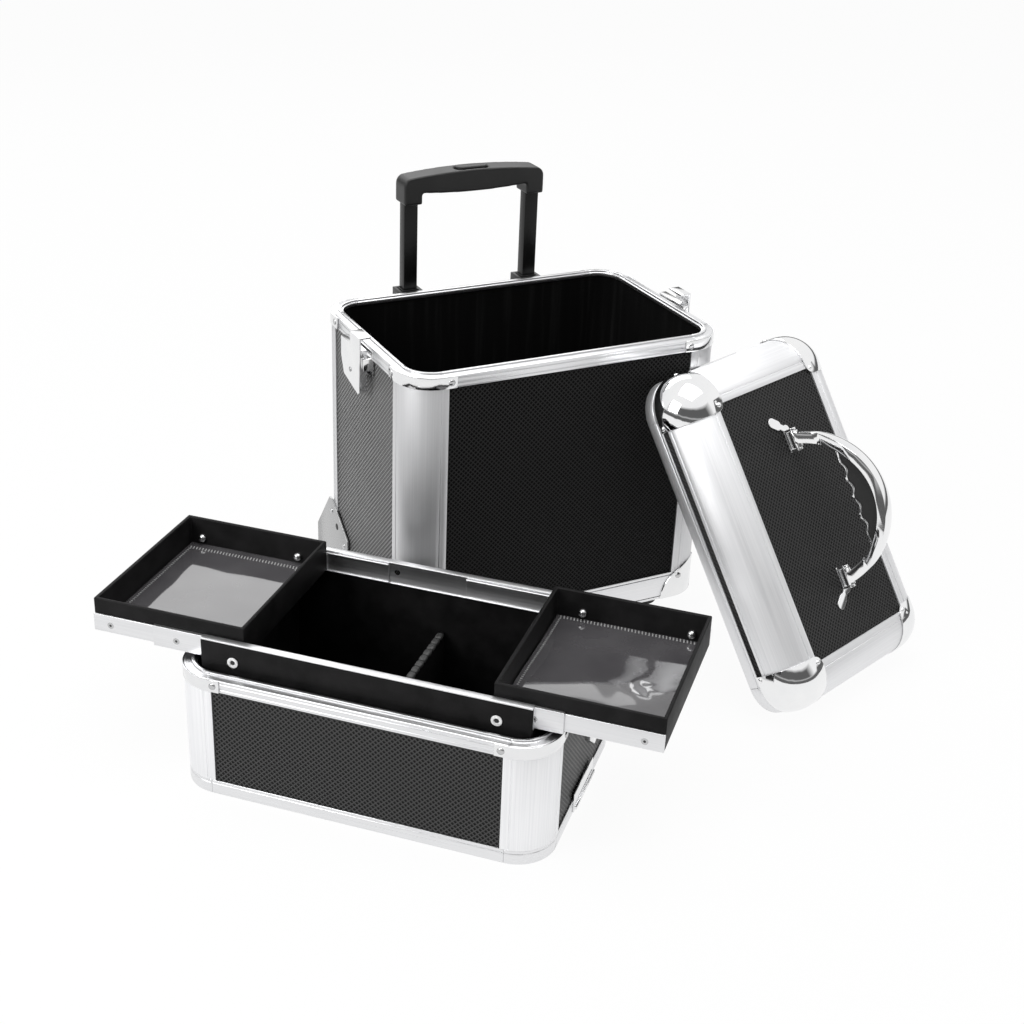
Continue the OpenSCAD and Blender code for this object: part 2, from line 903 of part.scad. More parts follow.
// A lever of folded sheet, with a knuckle on the pin and a hook above the rim
module latch_lever(rise, reach) {
    half = latch_w / 2;
    face = latch_out - latch_t;
    difference() {
        union() {
            difference() {
                upright_plate(latch_out - latch_side, latch_side)
                    polygon(lever_points(0));
                upright_plate(latch_out - latch_side - cut, latch_side - latch_t + cut)
                    polygon(lever_points(latch_t));
            }
            translate([face, -half, -latch_head - latch_t])
                cube([latch_t, hook_w, rise + latch_head + latch_t]);
            translate([reach, -half, rise - hook_t])
                cube([latch_out - reach, hook_w, hook_t]);
            translate([latch_pin_x, half, latch_pin_z])
                rotate([90, 0, 0])
                    cylinder(latch_w, r = latch_knuckle_r);
            translate([latch_pin_x, -half, latch_pin_z - latch_knuckle_r])
                cube([face + latch_t / 2 - latch_pin_x, latch_w, 2 * latch_knuckle_r]);
        }
        translate([latch_pin_x, half + cut, latch_pin_z])
            rotate([90, 0, 0])
                cylinder(latch_w + 2 * cut, r = latch_pin_r + latch_pin_play);
    }
}

// Puts a latch piece on the right side of a section, at its rim's top
module latch_place(top) {
    translate([case_w / 2, 0, top])
        children();
}

module base_latch_brackets() {
    color(chrome)
        base_place()
            both_sides()
                latch_place(base_h)
                    latch_bracket();
}

module base_latch_left() {
    color(chrome)
        base_place()
            mirror([1, 0, 0])
                latch_place(base_h)
                    latch_lever(base_hook_rise, hook_reach);
}

module base_latch_right() {
    color(chrome)
        base_place()
            latch_place(base_h)
                latch_lever(base_hook_rise, hook_reach);
}

// The tray section's walls and frames

module section_front_panel() {
    color(panel_black)
        section_place()
            front_panel(section_floor_z, section_h - rim_top);
}

module section_back_panel() {
    color(panel_black)
        section_place()
            rotate(180)
                front_panel(section_floor_z, section_h - rim_top);
}

module section_side_panels() {
    color(panel_black)
        section_place()
            side_panels(section_floor_z, section_h - rim_top);
}

module section_bottom_panel() {
    color(panel_black)
        section_place()
            translate([0, 0, section_floor_z])
                linear_extrude(board_t)
                    plan(post_t);
}

module section_lining() {
    color(lining_black)
        section_place()
            lined_box(section_floor_z + board_t, section_h - rim_top);
}

module section_corner_posts() {
    color(aluminium)
        section_place()
            corner_posts(section_frame_h, section_h - rim_h);
}

module section_top_rim() {
    color(aluminium)
        section_place()
            top_rim(section_h);
}

module section_rim_corners() {
    color(chrome)
        section_place()
            rim_corners(section_h);
}

// Points of the groove that takes the tongue of the rim below
function groove_points() = [
    [-tongue_in - groove_play, 0], [-tongue_in - groove_play, tongue_h + groove_play],
    [-tongue_in + tongue_w + groove_play, tongue_h + groove_play], [-tongue_in + tongue_w + groove_play, 0]
];

module section_bottom_frame() {
    color(aluminium)
        section_place()
            all_round()
                polygon(concat(
                    [[-shelf_w, 0]], groove_points(),
                    [[0, 0]], line_points(section_frame_h - bead_in),
                    [[0, section_frame_h], [-profile_t, section_frame_h],
                     [-profile_t, groove_floor_t], [-shelf_w, groove_floor_t]]
                ));
}

// Catches low on the section's sides, for the hooks of the base's levers
module section_catches() {
    lip_z = base_hook_rise - hook_t - 4;
    plate_w = latch_w + 12;
    color(chrome)
        section_place()
            both_sides()
                translate([case_w / 2, -plate_w / 2, 0]) {
                    translate([0, 0, 2])
                        cube([latch_plate_t, plate_w, section_frame_h + 6]);
                    translate([0, 0, lip_z])
                        cube([catch_reach, plate_w, 3]);
                }
}

module section_latch_brackets() {
    color(chrome)
        section_place()
            both_sides()
                latch_place(section_h)
                    latch_bracket();
}

module section_latch_left() {
    color(chrome)
        section_place()
            mirror([1, 0, 0])
                latch_place(section_h)
                    latch_lever(tray_hook_rise, lid_hook_reach);
}

module section_latch_right() {
    color(chrome)
        section_place()
            latch_place(section_h)
                latch_lever(tray_hook_rise, lid_hook_reach);
}

// The insert that carries the trays

// Draws a piece on the front side of the insert, and its mirror image at the back
module front_and_back() {
    children();
    mirror([0, 1, 0])
        children();
}

module insert_walls() {
    color(panel_black)
        section_place()
            front_and_back()
                translate([-insert_w / 2, -insert_d / 2, lining_floor_z])
                    cube([insert_w, insert_t, insert_top - lining_floor_z]);
}

module insert_ends() {
    top = track_z - 1;
    color(panel_black)
        section_place()
            both_sides()
                translate([insert_w / 2 - insert_t, -insert_d / 2 + insert_t, lining_floor_z])
                    cube([insert_t, insert_d - 2 * insert_t, top - lining_floor_z]);
}

module insert_eyelets() {
    color([0.9, 0.9, 0.88])
        section_place()
            front_and_back()
                for (x = [-1, 1])
                    translate([x * eyelet_x, -insert_d / 2, section_h + 9])
                        rotate([90, 0, 0])
                            difference() {
                                cylinder(1.2, r = eyelet_r);
                                translate([0, 0, 0.5])
                                    cylinder(2, r = eyelet_r / 2);
                            }
}

// Aluminium tracks on the insert's inner faces, with a bright strip over the wall's edge
module tray_tracks() {
    color(aluminium)
        section_place()
            front_and_back()
                translate([insert_w / 2, 0, 0])
                    rotate([0, -90, 0])
                        linear_extrude(insert_w)
                            polygon([
                                [track_z, -track_face - track_t], [insert_top, -track_face - track_t],
                                [insert_top, -insert_d / 2], [insert_top + strip_t, -insert_d / 2],
                                [insert_top + strip_t, -track_lip], [insert_top, -track_lip],
                                [insert_top, -track_face], [track_z + lip_t, -track_face],
                                [track_z + lip_t, -track_lip], [track_z, -track_lip]
                            ]);
}

module divider() {
    color(panel_black)
        section_place()
            translate([divider_x - divider_t / 2, -insert_d / 2 + insert_t, lining_floor_z])
                cube([divider_t, insert_d - 2 * insert_t, divider_h]);
}

// One pair of slides, front and back, between the section's tracks and a tray's rails
module slides(x0) {
    color(aluminium)
        section_place()
            front_and_back()
                translate([x0 + slide_l, 0, 0])
                    rotate([0, -90, 0])
                        linear_extrude(slide_l)
                            polygon([
                                [slide_z, -slide_face - slide_t], [slide_top, -slide_face - slide_t],
                                [slide_top, -slide_lip], [slide_top - lip_t, -slide_lip],
                                [slide_top - lip_t, -slide_face], [slide_z + lip_t, -slide_face],
                                [slide_z + lip_t, -slide_lip], [slide_z, -slide_lip]
                            ]);
}

module left_slides() {
    slides(-slide_end_gap / 2 - slide_l - left_slide_out);
}

module right_slides() {
    slides(slide_end_gap / 2 + right_slide_out);
}

// Trays: their inner ends meet at the middle of the insert when they are pushed in
left_tray_x = -tray_end_gap - tray_l - tray_out;
right_tray_x = tray_end_gap + tray_out;

module tray_box(x0) {
    color(panel_black)
        section_place()
            difference() {
                translate([x0, -tray_d / 2, tray_z])
                    cube([tray_l, tray_d, tray_h]);
                translate([x0 + tray_t, -tray_d / 2 + tray_t, tray_z + tray_t])
                    cube([tray_l - 2 * tray_t, tray_d - 2 * tray_t, tray_h]);
            }
}

module tray_rails(x0) {
    color(aluminium)
        section_place()
            front_and_back()
                translate([x0, -tray_d / 2 - rail_t, rail_z])
                    cube([tray_l, rail_t, rail_h]);
}

// Clear vinyl sheet that lies on a tray's floor
module tray_sheet(x0) {
    inside = tray_t + sheet_gap;
    color(clear_grey)
        section_place()
            translate([x0 + inside, -tray_d / 2 + inside, tray_z + tray_t])
                cube([tray_l - 2 * inside, tray_d - 2 * inside, sheet_t]);
}

module left_tray_box() {
    tray_box(left_tray_x);
}

module left_tray_rails() {
    tray_rails(left_tray_x);
}

module left_tray_sheet() {
    tray_sheet(left_tray_x);
}

module right_tray_box() {
    tray_box(right_tray_x);
}

module right_tray_rails() {
    tray_rails(right_tray_x);
}

module right_tray_sheet() {
    tray_sheet(right_tray_x);
}

// The lid

module lid_top_panel() {
    inside = corner_r;
    color(panel_black)
        lid_place()
            translate([-(case_w / 2 - inside), -(case_d / 2 - inside), lid_panel_top - lid_panel_t])
                cube([case_w - 2 * inside, case_d - 2 * inside, lid_panel_t]);
}

module lid_edge_profiles() {
    color(aluminium)
        lid_place()
            along_sides() {
                translate([-corner_r, lid_edge_z])
                    difference() {
                        intersection() {
                            circle(corner_r);
                            square(corner_r);
                        }
                        circle(corner_r - lid_profile_t);
                        round_lines(corner_r);
                    }
                translate([-corner_r - lid_lip, lid_h - profile_t])
                    square([lid_lip + cut, profile_t]);
            }
}

module lid_side_strip() {
    color(panel_black)
        lid_place()
            all_round()
                translate([-post_t, groove_floor_t])
                    square([panel_t, lid_edge_z - groove_floor_t]);
}

module lid_rim() {
    color(aluminium)
        lid_place()
            difference() {
                all_round()
                    polygon(concat(
                        [[-rim_w, 0]], groove_points(),
                        [[0, 0]], line_points(lid_rim_h - bead_in),
                        [[0, lid_rim_h], [-profile_t, lid_rim_h], [-profile_t, groove_floor_t],
                         [-lined_t, groove_floor_t], [-lined_t, lid_rim_h], [-rim_w, lid_rim_h]]
                    ));
                hook_windows(-lid_hook_reach + 1, cut);
            }
}

// Windows in the lid's short ends, where the hooks of the tray section's levers reach in
module hook_windows(deep, proud) {
    window_w = hook_w + 2;
    for (turn = [0, 180])
        rotate(turn)
            translate([case_w / 2 - deep, -window_w / 2 + (turn == 0 ? hook_y : -hook_y), window_z[0]])
                cube([deep + proud, window_w, window_z[1] - window_z[0]]);
}

module lid_catches() {
    plate_w = latch_w + 10;
    color(chrome)
        lid_place()
            difference() {
                for (turn = [0, 180])
                    rotate(turn)
                        translate([case_w / 2, -plate_w / 2, 0])
                            cube([catch_plate_t, plate_w, lid_rim_h - 1]);
                hook_windows(cut, 2 * cut);
            }
}

// Rounded caps on the lid's four corners, each with a skirt and a tab on the top panel
module lid_corner_caps() {
    inner = corner_r + skin;
    outer = inner + plate_t;
    color(chrome)
        lid_place()
            at_corners()
                translate([0, 0, lid_edge_z]) {
                    difference() {
                        union() {
                            intersection() {
                                sphere(outer);
                                cube(outer);
                            }
                            intersection() {
                                rotate([0, -90, 0])
                                    cylinder(cap_leg, r = outer);
                                translate([-cap_leg, 0, 0])
                                    cube([cap_leg, outer, outer]);
                            }
                            intersection() {
                                rotate([90, 0, 0])
                                    cylinder(cap_leg, r = outer);
                                translate([0, -cap_leg, 0])
                                    cube([outer, cap_leg, outer]);
                            }
                        }
                        sphere(inner);
                        rotate([0, -90, 0])
                            cylinder(cap_leg + cut, r = inner);
                        rotate([90, 0, 0])
                            cylinder(cap_leg + cut, r = inner);
                    }
                    translate([0, 0, -lid_strip_h])
                        linear_extrude(lid_strip_h)
                            corner_plate(inner, outer, cap_leg);
                    translate([0, 0, inner])
                        linear_extrude(plate_t)
                            intersection() {
                                circle(cap_leg);
                                translate([-cap_leg, -cap_leg])
                                    square(cap_leg);
                            }
                }
}

module lid_lining() {
    top = lid_panel_top - lid_panel_t;
    inside = corner_r;
    color(lining_black)
        lid_place() {
            all_round()
                translate([-lined_t, groove_floor_t])
                    square([lining_t, lid_wall_h - groove_floor_t]);
            translate([-(case_w / 2 - inside), -(case_d / 2 - inside), top - lining_t])
                cube([case_w - 2 * inside, case_d - 2 * inside, lining_t]);
        }
}

// The lid's carrying handle

// Frame of the bow: x along the pins, y up the bow's plane
module bow_place() {
    lid_place()
        translate([0, pin_y, lid_panel_top + pin_rise])
            rotate([90 + bow_tilt, 0, 0])
                children();
}

module lid_handle_brackets() {
    half = knuckle_l / 2 + ear_gap + lid_ear_t;
    color(chrome)
        lid_place()
            both_sides()
                translate([bracket_gap / 2, pin_y, lid_panel_top]) {
                    linear_extrude(lid_foot_t) {
                        square([2 * half, lid_foot_w], center = true);
                        translate([half, 0]) {
                            circle(lid_foot_w / 2);
                            rotate(leaf_turn)
                                leaf();
                        }
                    }
                    for (x = [-half, half - lid_ear_t])
                        translate([x, 0, 0]) {
                            translate([0, -lid_ear_r, 0])
                                cube([lid_ear_t, 2 * lid_ear_r, pin_rise]);
                            translate([0, 0, pin_rise])
                                rotate([0, 90, 0])
                                    cylinder(lid_ear_t, r = lid_ear_r);
                        }
                    translate([-half, 0, pin_rise])
                        rotate([0, 90, 0])
                            cylinder(2 * half, r = bow_pin_r);
                }
}

// Plan of the leaf at the outer end of a bracket
module leaf() {
    blade = leaf_l - leaf_w / 2;
    translate([0, -leaf_neck / 2])
        square([leaf_l, leaf_neck]);
    translate([leaf_l - blade / 2, -leaf_w / 2])
        square([blade / 2, leaf_w]);
    for (x = [leaf_l - blade / 2, leaf_l])
        translate([x, 0])
            circle(leaf_w / 2);
}

// Shape of the grip seen along its pins' plane, drawn larger on the fingers' side by a depth
module finger_outline(radius, depth) {
    middle_h = bow_h - bow_r;
    low = bow_grip_h - depth;
    pitch = 2 * sqrt(pow(bow_r - bow_t, 2) - pow(bow_grip_h - middle_h, 2)) / (groove_count + 1);
    difference() {
        intersection() {
            translate([0, middle_h])
                circle(radius);
            translate([-bow_r, low])
                square([2 * bow_r, bow_h]);
        }
        for (k = [0 : groove_count - 1])
            translate([(k - (groove_count - 1) / 2) * pitch, low + groove_depth - groove_r])
                circle(groove_r);
    }
}

// A cast bow with a crowned outer face, narrow at its pins, that goes round the grip on the fingers' side
module lid_handle_bow() {
    middle_h = bow_h - bow_r;
    start = asin((bow_foot_h - middle_h) / (bow_r - bow_t / 2));
    color(chrome)
        bow_place()
            difference() {
                union() {
                    intersection() {
                        translate([0, middle_h, 0])
                            rotate(start)
                                rotate_extrude(angle = 180 - 2 * start)
                                    translate([bow_r, 0])
                                        intersection() {
                                            translate([-bow_crown, 0])
                                                circle(bow_crown);
                                            translate([-bow_t, -bow_d / 2])
                                                square([bow_t, bow_d]);
                                        }
                        upright_plate(-bow_r, 2 * bow_r)
                            polygon([
                                [-bow_r, -bow_end_d / 2], [bow_neck_h, -bow_end_d / 2],
                                [bow_shoulder_h, -bow_d / 2 - cut], [bow_r, -bow_d / 2 - cut],
                                [bow_r, bow_d / 2 + cut], [bow_shoulder_h, bow_d / 2 + cut],
                                [bow_neck_h, bow_end_d / 2], [-bow_r, bow_end_d / 2]
                            ]);
                    }
                    translate([0, 0, -grip_thick / 2])
                        linear_extrude(grip_thick)
                            difference() {
                                finger_outline(bow_r - bow_t + cut, frame_t);
                                finger_outline(bow_r - bow_t + 2 * cut, skin);
                            }
                    for (x = [-1, 1])
                        translate([x * bracket_gap / 2 - knuckle_l / 2, 0, 0])
                            rotate([0, 90, 0])
                                cylinder(knuckle_l, r = knuckle_r);
                }
                for (x = [-1, 1])
                    translate([x * bracket_gap / 2 - knuckle_l, 0, 0])
                        rotate([0, 90, 0])
                            cylinder(2 * knuckle_l, r = bow_pin_r + bow_pin_play);
            }
}

// Grip on the inside of the bow, with a groove for each finger
module lid_handle_grip() {
    color(plastic_black)
        bow_place()
            translate([0, 0, -grip_thick / 2])
                linear_extrude(grip_thick)
                    finger_outline(bow_r - bow_t - skin, 0);
}

base_front_panel();
base_back_panel();
base_side_panels();
base_bottom_panel();
base_lining();
base_corner_posts();
base_top_rim();
base_rim_corners();
base_bottom_frame();
base_foot_corners();
wheel_brackets();
wheel_axles();
front_feet();
wheel_left();
wheel_right();
handle_outer_tubes();
handle_mounts();
handle_middle_tubes();
handle_inner_tubes();
handle_grip();
handle_button();
base_latch_brackets();
base_latch_left();
base_latch_right();
section_front_panel();
section_back_panel();
section_side_panels();
section_bottom_panel();
section_lining();
section_corner_posts();
section_top_rim();
section_rim_corners();
section_bottom_frame();
section_catches();
insert_walls();
insert_ends();
insert_eyelets();
tray_tracks();
divider();
section_latch_brackets();
section_latch_left();
section_latch_right();
left_tray_box();
left_tray_rails();
left_tray_sheet();
left_slides();
right_tray_box();
right_tray_rails();
right_tray_sheet();
right_slides();
lid_top_panel();
lid_edge_profiles();
lid_side_strip();
lid_rim();
lid_corner_caps();
lid_lining();
lid_catches();
lid_handle_brackets();
lid_handle_bow();
lid_handle_grip();
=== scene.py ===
import math

import bpy
from mathutils import Euler, Matrix, Vector, noise


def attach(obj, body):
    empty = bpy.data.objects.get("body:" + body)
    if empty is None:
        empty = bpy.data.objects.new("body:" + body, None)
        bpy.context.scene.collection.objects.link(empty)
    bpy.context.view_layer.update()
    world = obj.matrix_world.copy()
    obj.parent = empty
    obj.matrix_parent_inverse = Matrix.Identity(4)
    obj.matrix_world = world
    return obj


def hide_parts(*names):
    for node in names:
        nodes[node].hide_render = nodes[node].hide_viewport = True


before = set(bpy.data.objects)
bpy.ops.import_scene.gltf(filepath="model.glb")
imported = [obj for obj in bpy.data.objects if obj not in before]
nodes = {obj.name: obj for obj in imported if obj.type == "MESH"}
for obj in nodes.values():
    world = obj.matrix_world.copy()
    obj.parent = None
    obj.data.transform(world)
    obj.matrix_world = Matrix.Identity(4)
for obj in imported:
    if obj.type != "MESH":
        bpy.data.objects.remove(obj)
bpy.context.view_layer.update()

# Panels of the three sections: board covered with a black sheet that is embossed with a fine diamond lattice.
# They are held by the posts' flanges and the rims, and the lattice follows each section as it stands.
half_w, half_d = 0.1725, 0.115
lattice = 0.0050
lid_lean, lid_turn = math.radians(33.7 - 90), math.radians(90 + 18.9)
stands = {
    "base": Matrix.Translation((0.07201, 0.16997, 0)),
    "section": Matrix.Translation((-0.15599, -0.06503, 0)) @ Matrix.Rotation(math.radians(-44.7), 4, "Z"),
    "lid": (Matrix.Translation((0.29201, -0.121832, 0.000832)) @ Euler((0, lid_lean, lid_turn)).to_matrix().to_4x4()
            @ Matrix.Translation((half_w, 0, 0))),
}


class Value:
    """A socket in a finish. Sums, products and the like of such values add Math nodes."""

    def __init__(self, tree, socket):
        self.tree, self.socket = tree, socket

    def make(self, kind, settings=None, inputs=None, out=0):
        node = self.tree.nodes.new(kind)
        for name, value in (settings or {}).items():
            if name == "stops":
                ramp = node.color_ramp
                while len(ramp.elements) < len(value):
                    ramp.elements.new(0.5)
                for element, (position, shade) in zip(ramp.elements, value):
                    element.position = position
                    element.color = (*shade, 1) if isinstance(shade, tuple) else (shade, shade, shade, 1)
            else:
                setattr(node, name, value)
        for key, value in (inputs or {}).items():
            if isinstance(value, Value):
                self.tree.links.new(value.socket, node.inputs[key])
            else:
                node.inputs[key].default_value = value
        return Value(self.tree, node.outputs[out])

    def math(self, operation, *others):
        return self.make("ShaderNodeMath", {"operation": operation}, dict(enumerate((self, *others))))

    def __add__(self, other):
        return self.math("ADD", other)

    def __sub__(self, other):
        return self.math("SUBTRACT", other)

    def __rsub__(self, other):
        return self.make("ShaderNodeMath", {"operation": "SUBTRACT"}, {0: other, 1: self})

    def __mul__(self, other):
        return self.math("MULTIPLY", other)

    def ramp(self, *stops):
        return self.make("ShaderNodeValToRGB", {"stops": stops}, {"Fac": self})

    def noise(self, scale, detail=3.0):
        return self.make("ShaderNodeTexNoise", {}, {"Vector": self, "Scale": scale, "Detail": detail})

    def bump(self, strength, distance):
        return self.make("ShaderNodeBump", {}, {"Height": self, "Strength": strength, "Distance": distance})

    def axes(self):
        parts = self.make("ShaderNodeSeparateXYZ", {}, {"Vector": self})
        return [Value(self.tree, parts.socket.node.outputs[k]) for k in range(3)]

    def vector(self, x, y, z):
        return self.make("ShaderNodeCombineXYZ", {}, {0: x, 1: y, 2: z})


def new_finish(name, **fixed):
    """A material with its constant values set, its shader, and the surface's point as a value."""
    finish = bpy.data.materials.new(name)
    finish.use_nodes = True
    shader = finish.node_tree.nodes["Principled BSDF"]
    for socket, value in fixed.items():
        shader.inputs[socket.replace("_", " ")].default_value = value
    point = finish.node_tree.nodes.new("ShaderNodeTexCoord").outputs["Object"]
    return finish, shader, Value(finish.node_tree, point)


def feed(shader, **values):
    for socket, value in values.items():
        value.tree.links.new(value.socket, shader.inputs[socket.replace("_", " ")])


def in_stand(point, stand):
    """The surface's point in a section's own frame."""
    return point.make("ShaderNodeMapping", {"vector_type": "TEXTURE"},
                      {"Vector": point, "Location": stands[stand].to_translation(),
                       "Rotation": stands[stand].to_euler()})


def dress(finish, *names):
    for name in names:
        nodes[name].data.materials.clear()
        nodes[name].data.materials.append(finish)


def embossed_black(name, stand, painted_light_gain, shine=0.14):
    """Black sheet whose crossing ridges are painted paler than its hollows as a painted sheen, scaled by a gain of
    painted light: a high gain paints the faces lit, a low one shaded.
    """
    finish, shader, point = new_finish(name, Specular_IOR_Level=shine)
    local = in_stand(point, stand)
    x, y, z = local.axes()
    along, across = (x + z, y) if stand == "lid" else (x + y, z)
    turns = 2 * math.pi / lattice
    rising = ((along + across) * turns).math("SINE")
    falling = ((along - across) * turns).math("SINE")
    ridge = rising.math("MAXIMUM", falling)
    worn = local.noise(11.0, 4.0)
    fine = local.noise(1500.0, 1.0)
    shade = (ridge * 0.5 + 0.5).ramp((0.15, painted_light_gain * 0.002), (0.65, painted_light_gain * 0.008), (1.0, painted_light_gain * 0.100))
    feed(shader, Base_Color=shade, Roughness=worn * 0.14 + fine * 0.10 + 0.26,
         Normal=(ridge + fine * 0.15).bump(0.55, 0.0005))
    return finish


# The gains are painted light and shade: the base's side panels are painted lit, its front, back and bottom are
# painted shaded, and the section's and lid's sheets lie between.
dress(embossed_black("base_sheet_painted_shade", "base", painted_light_gain=0.34, shine=0.04), "base_front_panel", "base_back_panel",
      "base_bottom_panel")
dress(embossed_black("base_side_sheet_painted_light", "base", painted_light_gain=2.7), "base_side_panels")
dress(embossed_black("section_sheet", "section", painted_light_gain=0.65), "section_front_panel", "section_back_panel",
      "section_side_panels", "section_bottom_panel")
dress(embossed_black("lid_sheet", "lid", painted_light_gain=0.52), "lid_top_panel", "lid_side_strip")

# Linings of the three sections: thin black cloth glued to the boards.
# Faint upright streaks show where it was smoothed down, and it has hardly any shine.
cloth, cloth_shader, cloth_point = new_finish("black_lining_cloth", Roughness=0.85, Specular_IOR_Level=0.1)
streak_x, streak_y, streak_z = cloth_point.axes()
streaks = cloth_point.vector(streak_x * 130, streak_y * 130, streak_z * 5).noise(1.0, 4.0)
weave = cloth_point.noise(1100.0, 1.0)
feed(cloth_shader, Base_Color=(streaks * 0.9 + weave * 0.1).ramp((0.35, 0.0006), (0.55, 0.0015), (0.8, 0.010)),
     Normal=weave.bump(0.2, 0.0004))
dress(cloth, "base_lining", "section_lining", "lid_lining")

# Corner posts of the base and the tray section: drawn aluminium quarter rounds with flanges over the panels.
# They are satin anodised, with fine lines along their length, and their edges are broken a little.
post_edge = 0.0004
grain_fine, grain_long = 900, 7


def merged_copy(name, label, whole_faces=False):
    """A copy of a solid with doubled corners merged, and if asked also flat faces, selected to be shaped."""
    bpy.ops.object.select_all(action="DESELECT")
    piece = bpy.data.objects.new(label, nodes[name].data.copy())
    bpy.context.scene.collection.objects.link(piece)
    bpy.context.view_layer.objects.active = piece
    piece.select_set(True)
    bpy.ops.object.mode_set(mode="EDIT")
    bpy.ops.mesh.select_all(action="SELECT")
    bpy.ops.mesh.remove_doubles(threshold=1e-6)
    if whole_faces:
        bpy.ops.mesh.dissolve_limited(angle_limit=math.radians(0.5))
    bpy.ops.object.mode_set(mode="OBJECT")
    return piece


def softened(name, width, body, segments=2):
    """A copy of a solid with its sharp edges broken, which stands for the solid."""
    piece = merged_copy(name, name + "_eased", whole_faces=True)
    eased = piece.modifiers.new("eased", "BEVEL")
    eased.width, eased.segments, eased.limit_method = width, segments, "ANGLE"
    eased.angle_limit = math.radians(35)
    bpy.ops.object.modifier_apply(modifier="eased")
    bpy.ops.object.shade_smooth_by_angle(angle=math.radians(32))
    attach(piece, body)
    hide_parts(name)
    return piece


def coat(finish, slot, *pieces):
    for piece in pieces:
        piece.data.materials.clear()
        piece.data.materials.append(finish)


def drawn_aluminium(name, stand, run, rough, tone=0.80):
    """Satin aluminium whose drawing lines run upright, along a section's x, or round its plan."""
    finish, shader, point = new_finish(name, Metallic=1.0)
    local = in_stand(point, stand)
    x, y, z = local.axes()
    if run == "upright":
        grain = local.vector(x * grain_fine, y * grain_fine, z * grain_long)
    elif run == "along":
        grain = local.vector(x * grain_long, y * grain_fine, z * grain_fine)
    else:
        outward = (x.math("ABSOLUTE") - half_w).math("MAXIMUM", y.math("ABSOLUTE") - half_d)
        grain = local.vector(outward * grain_fine, z * grain_fine, (x + y) * grain_long)
    lines = grain.noise(1.0, 3.0)
    cloud = local.noise(12.0, 3.0)
    feed(shader,
         Base_Color=(lines * 0.7 + cloud * 0.3).ramp((0.3, (tone * 0.88, tone * 0.885, tone * 0.90)),
                                                     (0.7, (tone, tone, tone * 1.01))),
         Roughness=lines * 0.16 + cloud * 0.08 + (rough - 0.12), Normal=lines.bump(0.10, 0.0003))
    return finish


# The base's posts get a darker tone and the section's posts a brighter one: painted shade and painted light on one
# aluminium.
for stand, body, post_painted_light_tone in (("base", "base", 0.74), ("section", "tray_section", 0.97)):
    coat(drawn_aluminium(stand + "_post_aluminium", stand, "upright", 0.50, post_painted_light_tone), "satin_aluminium",
         softened(stand + "_corner_posts", post_edge, body))

# Rims round the openings and frames round the bottoms: drawn aluminium channels, bent at the corners.
# They clamp the panels' edges, and are brighter than the posts.
rim_edge = 0.0005
for stand, body in (("base", "base"), ("section", "tray_section")):
    coat(drawn_aluminium(stand + "_rim_aluminium", stand, "round", 0.30, 0.84), "satin_aluminium",
         softened(stand + "_top_rim", rim_edge, body), softened(stand + "_bottom_frame", rim_edge, body))

# Corner plates on the rims and rounded caps on the skirt's front corners: pressed steel, bright plated.
# Each is held by domed rivets near its ends.
rivet_r, rivet_rise, rivet_root = 0.0033, 0.0014, 0.0004
plate_edge, plate_face_x, plate_face_y = 0.0004, 173.75, 116.25


def bright_plate(name, rough=0.11, tone=0.84):
    finish, shader, point = new_finish(name, Metallic=1.0)
    cloud = point.noise(30.0, 4.0)
    fine = point.noise(500.0, 2.0)
    feed(shader, Base_Color=cloud.ramp((0.3, (tone * 0.93, tone * 0.935, tone * 0.945)), (0.7, (tone, tone, tone))),
         Roughness=cloud * 0.10 + fine * 0.04 + (rough - 0.06), Normal=fine.bump(0.02, 0.0002))
    return finish


def joined(name, model, places):
    """Copies of a model at the given places, joined into one piece. The model itself goes."""
    copies = []
    for place in places:
        copy = bpy.data.objects.new(name, model.data.copy())
        bpy.context.scene.collection.objects.link(copy)
        copy.data.transform(place)
        copies.append(copy)
    bpy.data.objects.remove(model)
    bpy.ops.object.select_all(action="DESELECT")
    for copy in copies:
        copy.select_set(True)
    piece = copies[0]
    bpy.context.view_layer.objects.active = piece
    if len(copies) > 1:
        bpy.ops.object.join()
    piece.name = name
    return piece


def rivet_heads(name, body, finish, slot, spots, radius=rivet_r, rise=rivet_rise, painted_hole_shade=None):
    """Domed heads at places given with the direction that they face, as one piece, with or without dark cores in a
    given finish, which are painted shade in the hollow middles.
    """
    bpy.ops.object.select_all(action="DESELECT")
    bpy.ops.mesh.primitive_circle_add(vertices=20, radius=radius, fill_type="NGON", location=(0, 0, -rivet_root))
    head = bpy.context.object
    bpy.ops.object.transform_apply(location=True)
    bpy.ops.object.mode_set(mode="EDIT")
    bpy.ops.mesh.select_all(action="SELECT")
    steps = [(rivet_root + rise * 0.25, 1.0), (rise * 0.35, 0.88), (rise * 0.28, 0.70), (rise * 0.12, 0.5)]
    for climb, share in steps:
        bpy.ops.mesh.extrude_region_move(TRANSFORM_OT_translate={"value": (0, 0, climb)})
        bpy.ops.transform.resize(value=(share, share, 1))
    bpy.ops.mesh.select_all(action="SELECT")
    bpy.ops.mesh.normals_make_consistent(inside=False)
    bpy.ops.object.mode_set(mode="OBJECT")
    bpy.ops.object.shade_smooth_by_angle(angle=math.radians(50))
    piece = joined(name, head, [Matrix.Translation(place) @ facing.to_track_quat("Z", "Y").to_matrix().to_4x4()
                                for place, facing in spots])
    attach(piece, body)
    coat(finish, slot, piece)
    if painted_hole_shade:
        rivet_heads(name + "_cores", body, painted_hole_shade, "wheel_rubber", spots, radius * 0.42, rise + 0.00005)


def spots_on(stand, *pairs):
    """Places and directions given in a section's own frame, in millimetres, turned to the shared frame."""
    turn = stands[stand].to_3x3()
    return [(stands[stand] @ (Vector(place) / 1000), turn @ Vector(facing)) for place, facing in pairs]


